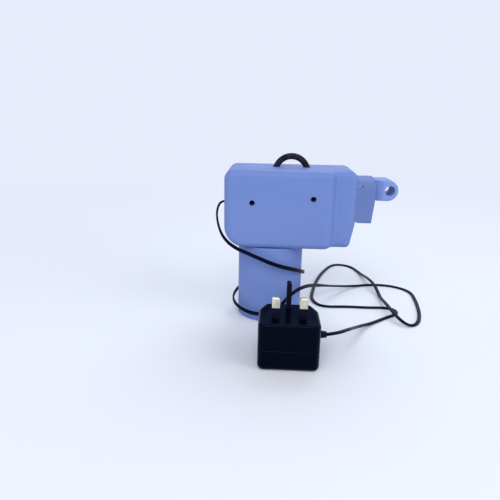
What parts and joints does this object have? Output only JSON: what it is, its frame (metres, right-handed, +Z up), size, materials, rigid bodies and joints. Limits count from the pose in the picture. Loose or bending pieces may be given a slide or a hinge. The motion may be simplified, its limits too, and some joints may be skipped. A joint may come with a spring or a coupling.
{
  "type": "dreadlock machine",
  "caption": "Hand-held needle machine with a round handle, a box head and a side eye that a lock of hair is drawn through, with its cord and mains adaptor.",
  "frame": {"origin": "middle of the handle's flat foot", "axes": "+X along the head to the needle eye, -Y the side with the two cover screws, +Z up the handle"},
  "size_m": [0.2218, 0.2794, 0.1618],
  "materials": {
    "body_plastic": "satin moulded, fine grain, light blue",
    "black_gloss": "polished black",
    "black_plastic": "satin black",
    "white_plastic": "natural white, satin",
    "cord_rubber": "smooth black sheath",
    "loop_rubber": "matt black cord",
    "steel": "ground and plated",
    "motor_steel": "zinc plated, drawn",
    "aluminium": "turned",
    "brass": "bright, lightly tarnished",
    "bronze": "sintered bearing bronze",
    "red_lead": "flexible sleeve",
    "blue_lead": "flexible sleeve"
  },
  "bodies": {
    "root": {"front_shell": "body_plastic", "rear_shell": "body_plastic", "cover_screws": "steel", "handle_tube": "body_plastic", "foot_cap": "body_plastic", "motor_can": "motor_steel", "motor_bearing": "bronze", "motor_end_bell": "black_plastic", "motor_terminals": "brass", "motor_bracket": "white_plastic", "bracket_screws": "steel", "motor_screws": "steel", "needle_barrel": "aluminium", "guide_bush": "bronze", "nose_block": "body_plastic", "nose_set_screw": "steel", "needle_eye": "body_plastic", "hanging_loop": "loop_rubber", "loop_stops": "loop_rubber", "switch_body": "black_plastic", "switch_blades": "brass", "cord_grommet": "black_plastic", "power_cord": "cord_rubber", "switch_lead": "red_lead", "motor_lead": "red_lead", "return_lead": "blue_lead", "adaptor_body": "black_gloss", "adaptor_cover": "black_gloss", "live_pins": "brass", "pin_sleeves": "black_plastic", "earth_pin": "black_plastic", "adaptor_relief": "black_plastic"},
    "crank": {"motor_shaft": "steel", "crank_disc": "aluminium", "crank_grub_screw": "steel", "crank_pin": "steel"},
    "slider": {"needle_bar": "steel", "needle_clamp": "aluminium", "clamp_screw": "steel", "needles": "steel", "wrist_pin": "steel"},
    "rod": {"connecting_rod": "white_plastic"},
    "rocker": {"switch_rocker": "black_gloss"}
  },
  "joints": [
    {"name": "crank_spin", "type": "hinge", "parent": "root", "child": "crank", "pos_m": [0, 0, 0.1165], "axis": [0, 0, 1], "continuous": true},
    {"name": "needle_slide", "type": "slide", "parent": "root", "child": "slider", "axis": [1, 0, 0], "range_m": [0, 0.015]},
    {"name": "rod_swing", "type": "hinge", "parent": "slider", "child": "rod", "pos_m": [0.015, 0, 0.1298], "axis": [0, 0, 1], "range_deg": [-19.47, 19.47]},
    {"name": "switch_rock", "type": "hinge", "parent": "root", "child": "rocker", "pos_m": [-0.027, 0.031, 0.096], "axis": [1, 0, 0], "range_deg": [0, 18]}
  ]
}
